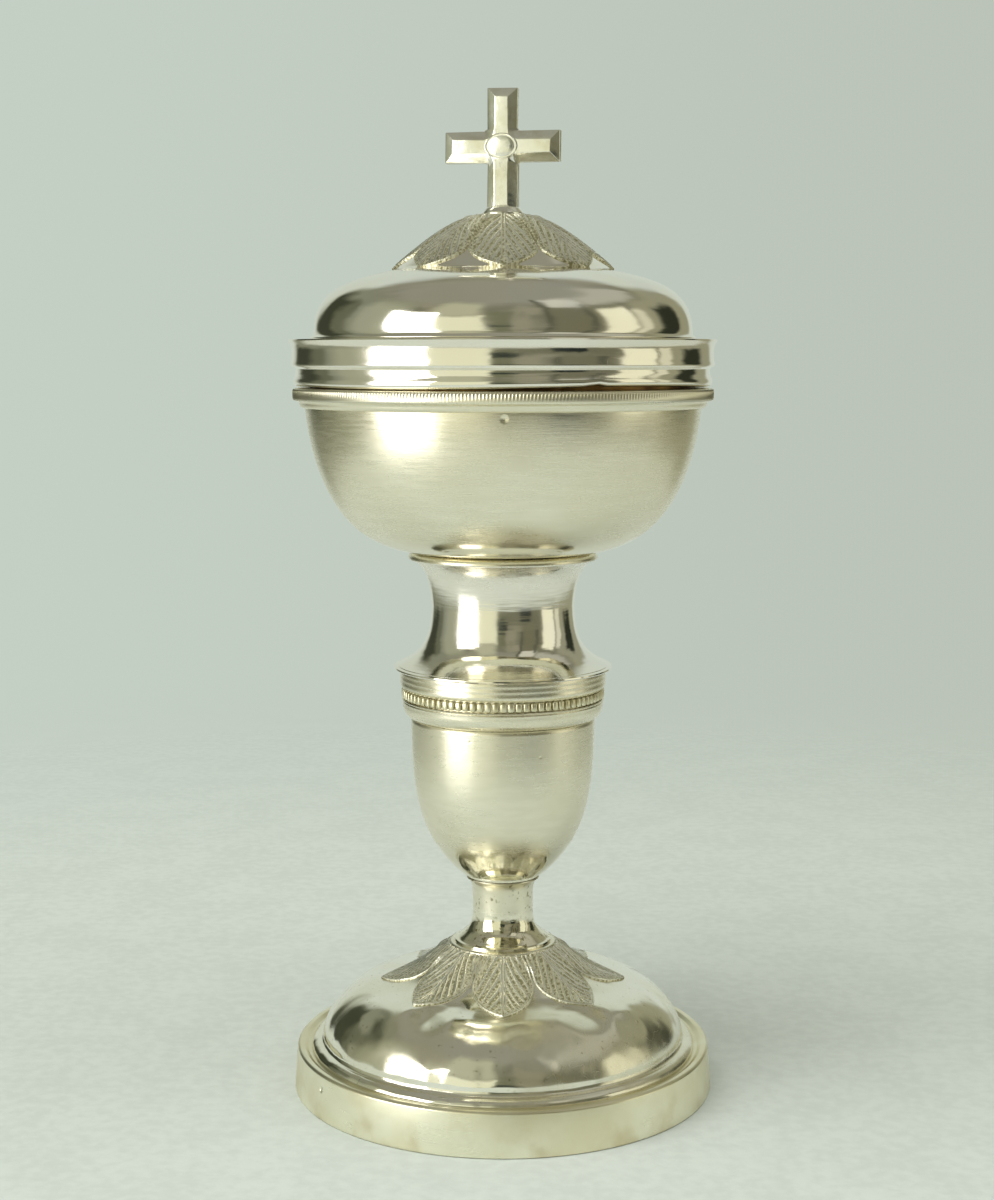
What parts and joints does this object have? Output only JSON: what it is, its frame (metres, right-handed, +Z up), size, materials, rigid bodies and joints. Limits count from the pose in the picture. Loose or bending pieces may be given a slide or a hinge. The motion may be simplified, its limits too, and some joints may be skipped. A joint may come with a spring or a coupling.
{
  "type": "travel ciborium",
  "caption": "Covered silver cup that screws onto an egg-shaped oil stock, which screws onto a domed foot. The lid lifts off and carries a cross.",
  "frame": {"origin": "centre of the foot's underside, on the surface it stands on", "axes": "+Z up the stem to the cross, which faces -Y, with its arms along X"},
  "size_m": [0.07, 0.07, 0.164],
  "materials": {
    "silver_satin": "satin silver, turned and lightly brushed",
    "silver_polished": "polished silver, softly worn",
    "silver_matted": "matted and chased silver",
    "silver_gilt": "gilt silver, worn",
    "seal_leather": "tanned leather"
  },
  "bodies": {
    "foot_unit": {"foot_plinth_ring": "silver_satin", "foot_dome": "silver_polished", "foot_leaf_rosette": "silver_matted", "stem_neck": "silver_polished", "stem_screw": "silver_satin", "foot_washer": "silver_satin", "foot_nut": "silver_satin"},
    "stem_seat": {"stem_washer": "silver_satin"},
    "stock_unit": {"oil_stock_body": "silver_satin", "stock_base_socket": "silver_satin", "stock_thread_collar": "silver_satin"},
    "seal_seat": {"stock_seal": "seal_leather"},
    "cup_unit": {"collar_sleeve": "silver_satin", "bead_ring": "silver_satin", "sleeve_thread_ring": "silver_satin", "sleeve_bulkhead": "silver_satin", "spool_stem": "silver_polished", "spool_seat_ring": "silver_polished", "cup_bowl": "silver_satin", "cup_rim_wire": "silver_satin"},
    "lid_unit": {"lid_rim_band": "silver_polished", "lid_bezel": "silver_gilt", "lid_dome": "silver_polished", "lid_leaf_rosette": "silver_matted", "finial_collar": "silver_satin", "cross_finial": "silver_satin", "finial_washer": "silver_satin", "finial_nut": "silver_satin"}
  },
  "joints": [
    {"name": "stock_rise", "type": "slide", "parent": "foot_unit", "child": "stem_seat", "axis": [0, 0, 1], "range_m": [0, 0.0048]},
    {"name": "stock_turn", "type": "hinge", "parent": "stem_seat", "child": "stock_unit", "pos_m": [0, 0, 0.0361], "axis": [0, 0, 1], "range_deg": [0, 1080]},
    {"name": "cup_rise", "type": "slide", "parent": "stock_unit", "child": "seal_seat", "axis": [0, 0, 1], "range_m": [0, 0.004]},
    {"name": "cup_turn", "type": "hinge", "parent": "seal_seat", "child": "cup_unit", "pos_m": [0, 0, 0.06255], "axis": [0, 0, 1], "range_deg": [0, 720]},
    {"name": "lid_lift", "type": "slide", "parent": "cup_unit", "child": "lid_unit", "axis": [0, 0, 1], "range_m": [0, 0.04]}
  ],
  "couplings": [
    {"joint": "stock_rise", "follows": "stock_turn", "m_per_rad": 0.00025465},
    {"joint": "cup_rise", "follows": "cup_turn", "m_per_rad": 0.00031831}
  ]
}
